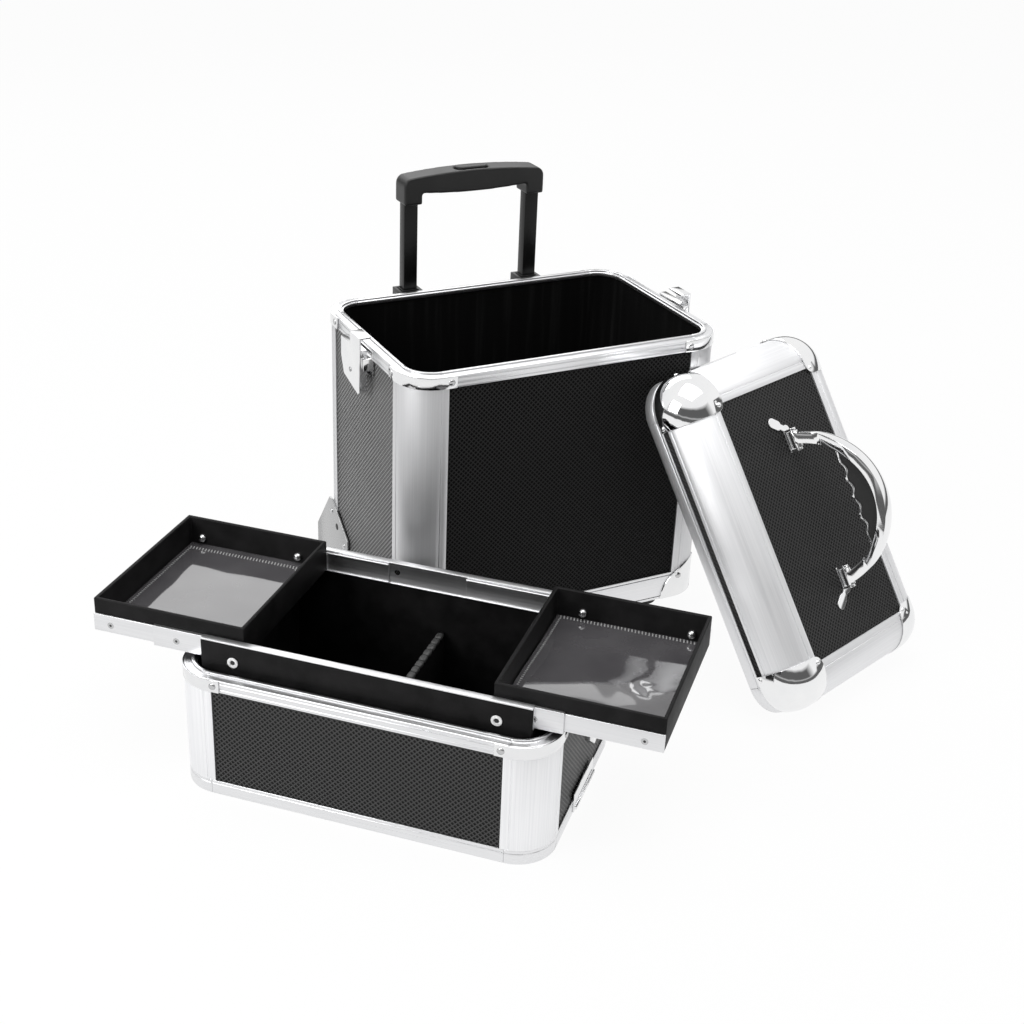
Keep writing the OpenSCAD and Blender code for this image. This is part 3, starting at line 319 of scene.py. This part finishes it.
plated, rivet_steel = bright_plate("bright_plate"), bright_plate("rivet_steel", 0.2, 0.55)
for stand, body, rim_z in (("base", "base", 312), ("section", "tray_section", 114)):
    coat(plated, "bright_chrome", softened(stand + "_rim_corners", plate_edge, body))
    ends = [((x * 130.5, y * plate_face_y, rim_z), (0, y, 0)) for x in (-1, 1) for y in (-1, 1)]
    ends += [((x * plate_face_x, y * 73.0, rim_z), (x, 0, 0)) for x in (-1, 1) for y in (-1, 1)]
    rivet_heads(stand + "_rim_rivets", body, rivet_steel, "bright_steel", spots_on(stand, *ends))
coat(plated, "bright_chrome", softened("base_foot_corners", plate_edge, "base"))
foot_ends = [((x * 141.0, -plate_face_y, 50.0), (0, -1, 0)) for x in (-1, 1)]
foot_ends += [((x * plate_face_x, -83.0, 50.0), (x, 0, 0)) for x in (-1, 1)]
rivet_heads("foot_cap_rivets", "base", rivet_steel, "bright_steel", spots_on("base", *foot_ends))

# Wheels in plated steel brackets behind the skirt, on steel axles, and two rubber feet in front.
# The wheels are moulded rubber with dished sides; the brackets' wings are riveted to the sides.
rubber_edge, bracket_edge, axle_edge = 0.0006, 0.0007, 0.0005
wing_face_x = 174.5
rubber, rubber_shader, rubber_point = new_finish("black_rubber")
scuff = rubber_point.noise(140.0, 5.0)
feed(rubber_shader, Base_Color=scuff.ramp((0.3, 0.012), (0.8, 0.034)), Roughness=scuff * 0.2 + 0.55,
     Normal=rubber_point.noise(900.0, 2.0).bump(0.15, 0.0003))
coat(rubber, "wheel_rubber", softened("wheel_left", rubber_edge, "wheel_left"),
     softened("wheel_right", rubber_edge, "wheel_right"), softened("front_feet", rubber_edge, "base"))
dull_plate = bright_plate("bracket_plate", 0.26, 0.43)
coat(dull_plate, "bright_chrome", softened("wheel_brackets", bracket_edge, "base"))
coat(plated, "bright_steel", softened("wheel_axles", axle_edge, "base"))
wing_spots = [((x * wing_face_x, y, z), (x, 0, 0)) for x in (-1, 1) for y, z in ((52, 66), (88, 92))]
rivet_heads("wing_rivets", "base", rivet_steel, "bright_steel", spots_on("base", *wing_spots))
plug_spots = [((x * wing_face_x, 72, 80), (x, 0, 0)) for x in (-1, 1)]
rivet_heads("wing_plugs", "base", rubber, "wheel_rubber", spots_on("base", *plug_spots), radius=0.0036, rise=0.0005)

# Pull handle: three pairs of gloss black tubes that slide in each other, in moulded collars and foot cups.
# A moulded grip with a release button joins the inner tubes.
tube_edge, mount_edge, button_edge = 0.0010, 0.0010, 0.0014
gloss, gloss_shader, gloss_point = new_finish("gloss_black", Specular_IOR_Level=0.25)
wear = gloss_point.noise(30.0, 4.0)
feed(gloss_shader, Base_Color=wear.ramp((0.3, 0.0015), (0.8, 0.006)), Roughness=wear * 0.15 + 0.16)
coat(gloss, "tube_black", softened("handle_outer_tubes", tube_edge, "base", 3),
     softened("handle_middle_tubes", tube_edge, "handle_middle", 3),
     softened("handle_inner_tubes", tube_edge, "handle_upper", 3))
moulded, moulded_shader, moulded_point = new_finish("moulded_black", Specular_IOR_Level=0.35)
spark = moulded_point.noise(900.0, 2.0)
tone = moulded_point.noise(22.0, 3.0)
feed(moulded_shader, Base_Color=tone.ramp((0.3, 0.009), (0.75, 0.018)), Roughness=tone * 0.15 + 0.34,
     Normal=spark.bump(0.14, 0.0003))
button_share_x, button_share_y, button_h = 0.96, 0.89, 0.0045
button = softened("handle_button", button_edge, "handle_button", 3)
button_top = max(corner.co.z for corner in button.data.vertices)
button_middle = sum((corner.co for corner in button.data.vertices), Vector()) / len(button.data.vertices)
for corner in button.data.vertices:
    corner.co.x = button_middle.x + (corner.co.x - button_middle.x) * button_share_x
    corner.co.y = button_middle.y + (corner.co.y - button_middle.y) * button_share_y
    corner.co.z = max(corner.co.z, button_top - button_h)
coat(moulded, "grip_black", button, softened("handle_mounts", mount_edge, "base", 3))
grip = merged_copy("handle_grip", "handle_grip_rounded")
cells = grip.modifiers.new("cells", "REMESH")
cells.mode, cells.voxel_size = "VOXEL", 0.0009
bpy.ops.object.modifier_apply(modifier="cells")
rounded = grip.modifiers.new("rounded", "SMOOTH")
rounded.factor, rounded.iterations = 0.5, 26
bpy.ops.object.modifier_apply(modifier="rounded")
bpy.ops.object.shade_smooth()
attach(grip, "handle_upper")
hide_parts("handle_grip")
coat(moulded, "grip_black", grip)

# Latches on the sides: folded plated levers with hooks, on pins in riveted brackets, and their catches.
# A rivet head shows in the middle of each lever.
coat(plated, "bright_chrome", softened("base_latch_brackets", plate_edge, "base"),
     softened("section_latch_brackets", plate_edge, "tray_section"),
     softened("section_catches", plate_edge, "tray_section"))
lever_edge, lever_face_x, rivet_below_rim = 0.0009, 186.0, 28
for stand, top in (("base", 318), ("section", 120)):
    for side, x in (("left", -1), ("right", 1)):
        lever = stand + "_latch_" + side
        coat(plated, "bright_chrome", softened(lever, lever_edge, lever, 3))
        rivet_heads(lever + "_rivet", lever, dull_plate, "bright_steel",
                    spots_on(stand, ((x * lever_face_x, 0.0, top - rivet_below_rim), (x, 0, 0))),
                    radius=0.0026, rise=0.0008)

# Insert of the tray section: thin boards covered with black leatherette, with a divider across.
# White enamelled eyelets hold the tracks through the long walls.
board_edge, eyelet_edge = 0.0007, 0.0004
hide, hide_shader, hide_point = new_finish("black_leatherette", Specular_IOR_Level=0.14)
pores = hide_point.make("ShaderNodeTexVoronoi", {}, {"Vector": hide_point, "Scale": 1500.0})
patch = hide_point.noise(55.0, 5.0)
feed(hide_shader, Base_Color=(patch * 0.8 + pores * 0.2).ramp((0.3, (0.003, 0.0029, 0.003)),
                                                              (0.8, (0.013, 0.0125, 0.013))),
     Roughness=patch * 0.2 + 0.44, Normal=pores.bump(0.2, 0.0003))
coat(hide, "leatherette", softened("insert_walls", board_edge, "tray_section"),
     softened("insert_ends", board_edge, "tray_section"), softened("divider", board_edge, "tray_section"))
# Ribbed pads along the divider's top. They are black like the divider, and their grey colour is a painted highlight
# where the ribs catch the light.
pad_highlight_finish, pad_shader, pad_point = new_finish("padding_painted_highlight", Roughness=0.6)
feed(pad_shader, Base_Color=pad_point.noise(300.0, 3.0).ramp((0.3, 0.035), (0.7, 0.075)),
     Normal=pad_point.noise(900.0, 2.0).bump(0.2, 0.0003))
pad_size, pad_pitch, pad_round, pad_sunk = (0.0070, 0.0092, 0.0050), 0.0105, 0.0018, 0.0010
own = stands["section"].inverted()
wall = [own @ corner.co for corner in nodes["divider"].data.vertices]
wall_x = (min(place.x for place in wall) + max(place.x for place in wall)) / 2
wall_y, wall_top = max(place.y for place in wall), max(place.z for place in wall)
pad_count = int(2 * wall_y / pad_pitch)
bpy.ops.object.select_all(action="DESELECT")
bpy.ops.mesh.primitive_cube_add(size=1, location=(0, 0, 0))
pad = bpy.context.object
pad.scale = pad_size
bpy.ops.object.transform_apply(scale=True)
bpy.ops.object.mode_set(mode="EDIT")
bpy.ops.mesh.bevel(offset=pad_round, segments=3, affect="EDGES")
bpy.ops.object.mode_set(mode="OBJECT")
bpy.ops.object.shade_smooth_by_angle(angle=math.radians(40))
steps = [(k - (pad_count - 1) / 2) * pad_pitch for k in range(pad_count)]
padding = joined("divider_padding", pad, [
    stands["section"] @ Matrix.Translation((wall_x, step, wall_top - pad_sunk)) for step in steps])
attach(padding, "tray_section")
coat(pad_highlight_finish, "leatherette", padding)
enamel, enamel_shader, enamel_point = new_finish("white_enamel", Roughness=0.3)
feed(enamel_shader, Base_Color=enamel_point.noise(400.0, 3.0).ramp((0.25, 0.60), (0.6, 0.86)))
coat(enamel, "white_enamel", softened("insert_eyelets", eyelet_edge, "tray_section", 3))
# The eyelets' dark cores are painted shade in their holes.
eyelet_spots = [((x * 120, y * 97.0, 129), (0, y, 0)) for x in (-1, 1) for y in (-1, 1)]
rivet_heads("eyelet_cores", "tray_section", rubber, "wheel_rubber", spots_on("section", *eyelet_spots),
            radius=0.0021, rise=0.0006)

# Tracks on the insert, slides and rails: drawn aluminium channels that run in each other beside the trays.
# Rivets hold the tracks to the insert, and the rails to the trays; the slides have stop rivets.
track_edge, slide_edge, rail_edge = 0.0003, 0.0003, 0.0005
rail_finish = drawn_aluminium("rail_aluminium", "section", "along", 0.40, 0.84)
coat(rail_finish, "satin_aluminium", softened("tray_tracks", track_edge, "tray_section"),
     softened("left_slides", slide_edge, "left_slides"), softened("right_slides", slide_edge, "right_slides"),
     softened("left_tray_rails", rail_edge, "left_tray"), softened("right_tray_rails", rail_edge, "right_tray"))
flush, rail_rivet_r, rail_z = 0.00006, 0.0032, 134.5
# The flush rivets on the tracks, rails and slides have dark cores: painted shade in their hollow middles.
track_spots = [((x, y * 91.6, 137), (0, -y, 0)) for x in (-130, -43, 45, 130) for y in (-1, 1)]
rivet_heads("track_rivets", "tray_section", rivet_steel, "bright_steel", spots_on("section", *track_spots),
            radius=0.0028, rise=flush, painted_hole_shade=rubber)
for side, x, slide_x in (("left", -1, -177), ("right", 1, 150)):
    rail_spots = [((x * near, y * 89.2, rail_z), (0, y, 0)) for near in (243, 130) for y in (-1, 1)]
    rivet_heads(side + "_rail_rivets", side + "_tray", rivet_steel, "bright_steel",
                spots_on("section", *rail_spots), radius=rail_rivet_r, rise=flush, painted_hole_shade=rubber)
    slide_spots = [((slide_x, y * 91.3, rail_z), (0, y, 0)) for y in (-1, 1)]
    rivet_heads(side + "_slide_rivets", side + "_slides", rivet_steel, "bright_steel",
                spots_on("section", *slide_spots), radius=rail_rivet_r, rise=flush, painted_hole_shade=rubber)

# Trays: shallow boxes of board wrapped in leatherette, whose rims are softly rounded.
# Two nickel ball studs stand on the inside of each tray's back wall.
wrap_edge = 0.0012
for side, x in (("left", -1), ("right", 1)):
    coat(hide, "leatherette", softened(side + "_tray_box", wrap_edge, side + "_tray", 3))
    stud_spots = [((x * near, 83.7, 138.0), (0, -1, 0)) for near in (243.5, 142)]
    rivet_heads(side + "_tray_studs", side + "_tray", rivet_steel, "bright_steel",
                spots_on("section", *stud_spots), radius=0.0044, rise=0.0046)

# Vinyl sheets that lie on the trays' floors: clear, glossy film, cut a little smaller than the floor.
# Their back and left edges are stitched, and the right one lies wavy, with a crumpled corner.
film, film_shader, film_point = new_finish("clear_vinyl", Roughness=0.06, Alpha=0.93, IOR=1.62, Coat_Weight=0.6,
                                           Coat_Roughness=0.04)
# The film's grey colour is partly the vinyl's milky haze and partly a painted reflection, which makes the sheet
# lighter than the leatherette under it.
haze_and_painted_reflection = film_point.noise(26.0, 4.0)
feed(film_shader, Base_Color=haze_and_painted_reflection.ramp((0.3, (0.070, 0.067, 0.072)), (0.75, (0.105, 0.102, 0.107))))
thread, thread_shader, thread_point = new_finish("pale_thread", Roughness=0.7)
feed(thread_shader, Base_Color=thread_point.noise(900.0, 2.0).ramp((0.3, 0.22), (0.7, 0.50)))
sheet_w, sheet_l, sheet_t, sheet_z = 0.136, 0.1644, 0.0005, 0.1310
tray_x = 0.1865
stitch_size, stitch_pitch, stitch_slant = (0.0012, 0.0044, 0.0007), 0.0032, 12
stitch_lift, stitch_edge, left_stitch_share = 0.0002, 0.00015, 0.4
seam_from_back, seam_from_left = {"left": 0.010, "right": 0.003}, 0.004
seam_short_w, seam_short_l = 0.006, 0.020


def lift_left(x, y):
    return 0.0003 * noise.noise(Vector((x * 25, y * 25, 3.0)))


def fold(place, pitch):
    return abs(place / pitch % 2 - 1)


def lift_right(x, y):
    bow = 0.0052 * math.exp(-((x + 0.030) / 0.080) ** 2 - ((y + 0.040) / 0.055) ** 2)
    crease = math.exp(-((x - 0.046) / 0.020) ** 2 - ((y + 0.020) / 0.032) ** 2)
    folds = fold(x * 0.8 + y * 0.6, 0.022) + fold(y * 0.87 - x * 0.5, 0.026) * 0.7
    return bow + crease * 0.0010 * folds + 0.0003 * noise.noise(Vector((x * 25, y * 25, 8.0)))


for side, x, lift in (("left", -1, lift_left), ("right", 1, lift_right)):
    bpy.ops.object.select_all(action="DESELECT")
    bpy.ops.mesh.primitive_plane_add(size=1, location=(0, 0, 0))
    sheet = bpy.context.object
    sheet.name = side + "_vinyl_sheet"
    sheet.scale = (sheet_w, sheet_l, 1)
    bpy.ops.object.transform_apply(scale=True)
    bpy.ops.object.mode_set(mode="EDIT")
    bpy.ops.mesh.subdivide(number_cuts=63)
    bpy.ops.object.mode_set(mode="OBJECT")
    for corner in sheet.data.vertices:
        corner.co.z = lift(corner.co.x, corner.co.y)
    lowest = min(corner.co.z for corner in sheet.data.vertices)
    middle = stands["section"] @ Matrix.Translation((x * tray_x, 0, sheet_z - lowest))
    sheet.data.transform(middle)
    thick = sheet.modifiers.new("film", "SOLIDIFY")
    thick.thickness, thick.offset = sheet_t, 1
    bpy.ops.object.modifier_apply(modifier="film")
    bpy.ops.object.shade_smooth_by_angle(angle=math.radians(9))
    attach(sheet, side + "_tray")
    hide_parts(side + "_tray_sheet")
    coat(film, "clear_vinyl", sheet)
    back, left = sheet_l / 2 - seam_from_back[side], -sheet_w / 2 + seam_from_left
    rows = [(left + stitch_pitch * k, back, 0) for k in range(int((sheet_w - seam_short_w) / stitch_pitch))]
    rows += [(left, back - stitch_pitch * k, 1) for k in range(1, int((sheet_l - seam_short_l) / stitch_pitch))]
    bpy.ops.object.select_all(action="DESELECT")
    bpy.ops.mesh.primitive_cube_add(size=1, location=(0, 0, 0))
    stitch = bpy.context.object
    stitch.scale = stitch_size
    bpy.ops.object.transform_apply(scale=True)
    bpy.ops.object.mode_set(mode="EDIT")
    bpy.ops.mesh.bevel(offset=stitch_edge, segments=1, affect="EDGES")
    bpy.ops.object.mode_set(mode="OBJECT")
    seam = joined(side + "_sheet_stitches", stitch, [
        middle @ Matrix.Translation((u, v, lift(u, v) + sheet_t + stitch_lift))
        @ Matrix.Rotation(math.radians(90 * run + stitch_slant), 4, "Z")
        @ Matrix.Diagonal((1, left_stitch_share if run else 1, 1, 1)) for u, v, run in rows])
    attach(seam, side + "_tray")
    coat(thread, "white_enamel", seam)

# Lid: wide quarter-round aluminium profiles round the top panel, and a grooved rim below a narrow black strip.
# The profiles are satin, with lines along their length.
profile_edge, lid_rim_edge = 0.0005, 0.0004
coat(drawn_aluminium("lid_profile_aluminium", "lid", "round", 0.52, 0.90), "satin_aluminium",
     softened("lid_edge_profiles", profile_edge, "lid"))
coat(drawn_aluminium("lid_rim_aluminium", "lid", "round", 0.45, 0.86), "satin_aluminium",
     softened("lid_rim", lid_rim_edge, "lid"))

# Ball corners of the lid and the hook plates in its short ends: pressed steel, bright plated.
# Each corner has a rivet on its tab and one on each leg.
catch_edge = 0.0002
dome_x, dome_y, dome_z, dome_most, dome_slack = 0.1365, 0.079, 0.0210, 0.040, 0.0002
mirror_plate = bright_plate("mirror_plate", 0.06, 0.88)
caps = softened("lid_corner_caps", plate_edge, "lid")
coat(mirror_plate, "bright_chrome", caps, softened("lid_catches", catch_edge, "lid"))
domes = [stands["lid"] @ Vector((x * dome_x, y * dome_y, dome_z)) for x in (-1, 1) for y in (-1, 1)]
dome_r = max((corner.co - domes[0]).length for corner in caps.data.vertices
             if (corner.co - domes[0]).length < dome_most)


def nearest_dome(place):
    return min(domes, key=lambda middle: (place - middle).length)


bpy.ops.object.select_all(action="DESELECT")
caps.select_set(True)
bpy.context.view_layer.objects.active = caps
bpy.ops.object.mode_set(mode="EDIT")
bpy.ops.mesh.select_all(action="DESELECT")
bpy.ops.mesh.select_mode(type="FACE")
bpy.ops.object.mode_set(mode="OBJECT")
for face in caps.data.polygons:
    ring = [caps.data.vertices[k].co for k in face.vertices]
    face.select = all(abs((place - nearest_dome(place)).length - dome_r) < dome_slack for place in ring)
bpy.ops.object.mode_set(mode="EDIT")
bpy.ops.mesh.subdivide(number_cuts=3)
bpy.ops.object.mode_set(mode="OBJECT")
for corner in caps.data.vertices:
    if corner.select:
        middle = nearest_dome(corner.co)
        corner.co = middle + (corner.co - middle).normalized() * dome_r
cap_spots = [((x * 132, y * 74.5, 58.2), (0, 0, 1)) for x in (-1, 1) for y in (-1, 1)]
cap_spots += [((x * 129.5, y * plate_face_y, 17.5), (0, y, 0)) for x in (-1, 1) for y in (-1, 1)]
cap_spots += [((x * plate_face_x, y * 72, 17.5), (x, 0, 0)) for x in (-1, 1) for y in (-1, 1)]
rivet_heads("lid_cap_rivets", "lid", mirror_plate, "bright_chrome", spots_on("lid", *cap_spots), radius=0.0024)

# Carrying handle of the lid: a plated bow on pins in two leaf-shaped brackets, with a moulded grip inside.
# The grip has a groove for each finger.
leaf_edge, bow_edge, grip_edge = 0.0006, 0.0009, 0.0030
coat(mirror_plate, "bright_chrome", softened("lid_handle_brackets", leaf_edge, "lid", 3),
     softened("lid_handle_bow", bow_edge, "lid_handle", 3))
coat(moulded, "grip_black", softened("lid_handle_grip", grip_edge, "lid_handle", 4))

# Ground and light: a pale plain floor, a large soft light from the left, one from above and a weak one behind.
# Floor and surroundings are white to the camera. In reflections the horizon and the side behind the camera are dark,
# which draws the dark edges on the bright plating.
bpy.ops.object.select_all(action="DESELECT")
bpy.ops.mesh.primitive_plane_add(size=40, location=(0, 0, 0))
floor = bpy.context.object
floor.name = "floor"
pale, pale_shader, pale_point = new_finish("pale_floor", Base_Color=(0.9, 0.9, 0.9, 1), Roughness=0.9)
rays = pale_point.make("ShaderNodeLightPath")
seen = (rays + Value(rays.tree, rays.socket.node.outputs["Is Glossy Ray"])
        + Value(rays.tree, rays.socket.node.outputs["Is Transmission Ray"])).math("MINIMUM", 1.0)
white = rays.make("ShaderNodeEmission", {}, {"Color": (1, 1, 1, 1), "Strength": 1.0})
floor_white = 0.95
pale_out = pale.node_tree.nodes["Material Output"]
lit = Value(pale.node_tree, pale_shader.outputs[0])
mixed = rays.make("ShaderNodeMixShader", {}, {0: seen * floor_white, 1: lit, 2: white})
pale.node_tree.links.new(mixed.socket, pale_out.inputs["Surface"])
floor.data.materials.append(pale)


def softbox(name, place, aim, size, watts):
    """A rectangular soft light that faces a point."""
    lamp = bpy.data.objects.new(name, bpy.data.lights.new(name, "AREA"))
    bpy.context.scene.collection.objects.link(lamp)
    lamp.data.shape, lamp.data.size, lamp.data.size_y, lamp.data.energy = "RECTANGLE", *size, watts
    lamp.location = place
    lamp.rotation_euler = (Vector(aim) - Vector(place)).to_track_quat("-Z", "Y").to_euler()


softbox("key", place=(-2.5, -0.5, 1.6), aim=(0, 0, 0.15), size=(1.6, 1.6), watts=44)
softbox("top", place=(0.1, -0.2, 2.8), aim=(0, 0, 0.1), size=(2.2, 2.2), watts=40)
softbox("rear", place=(0.4, 2.4, 1.6), aim=(0, 0, 0.2), size=(2.4, 1.2), watts=12)
world = bpy.data.worlds.new("studio")
world.use_nodes = True
bpy.context.scene.world = world
backdrop = world.node_tree.nodes["Background"]
sky = Value(world.node_tree, world.node_tree.nodes.new("ShaderNodeLightPath").outputs["Is Camera Ray"])
glossy = Value(world.node_tree, sky.socket.node.outputs["Is Glossy Ray"])
through = Value(world.node_tree, sky.socket.node.outputs["Is Transmission Ray"])
backdrop.inputs["Color"].default_value = (1, 1, 1, 1)
shown = (sky + glossy + through).math("MINIMUM", 1.0)
towards = Value(world.node_tree, world.node_tree.nodes.new("ShaderNodeTexCoord").outputs["Generated"])
east, north, upward = towards.axes()
nearness = (-0.20 - east * 0.46 - north * 0.89) * 3.0
band_low, band_high, horizon_low, horizon_high = 0.10, 0.58, -0.08, 0.20
band = ((upward - band_low) * 9.0).math("MINIMUM", (band_high - upward) * 9.0)
horizon = ((upward - horizon_low) * 20.0).math("MINIMUM", (horizon_high - upward) * 12.0)
dark_side = nearness.math("MINIMUM", band).math("MAXIMUM", horizon).math("MAXIMUM", 0.0).math("MINIMUM", 1.0)
fill, dark_share = 0.38, 0.88
glow = shown * (1 - fill) + fill - glossy * dark_side * dark_share
world.node_tree.links.new(glow.socket, backdrop.inputs["Strength"])
bpy.context.scene.view_settings.view_transform = "Standard"

# Camera: in front of the case and to its left, a little above it, turned slightly about its own axis.
# Its place was worked out from the photograph's straight edges.
camera_place, sensor, lens = (-0.64558, -1.19749, 0.88012), 36, 56.57
azimuth, elevation, roll = math.radians(-27.64), math.radians(26.86), math.radians(2.45)
back = Vector((math.sin(azimuth) * math.cos(elevation), -math.cos(azimuth) * math.cos(elevation),
               math.sin(elevation)))
right = Vector((0, 0, 1)).cross(back).normalized()
up = back.cross(right)
right, up = right * math.cos(roll) + up * math.sin(roll), up * math.cos(roll) - right * math.sin(roll)
camera = bpy.data.objects.new("camera", bpy.data.cameras.new("camera"))
bpy.context.scene.collection.objects.link(camera)
camera.data.sensor_width, camera.data.lens = sensor, lens
camera.data.clip_start, camera.data.clip_end = 0.05, 50
turned = Matrix((right, up, back)).transposed().to_4x4()
camera.matrix_world = Matrix.Translation(camera_place) @ turned
bpy.context.scene.camera = camera
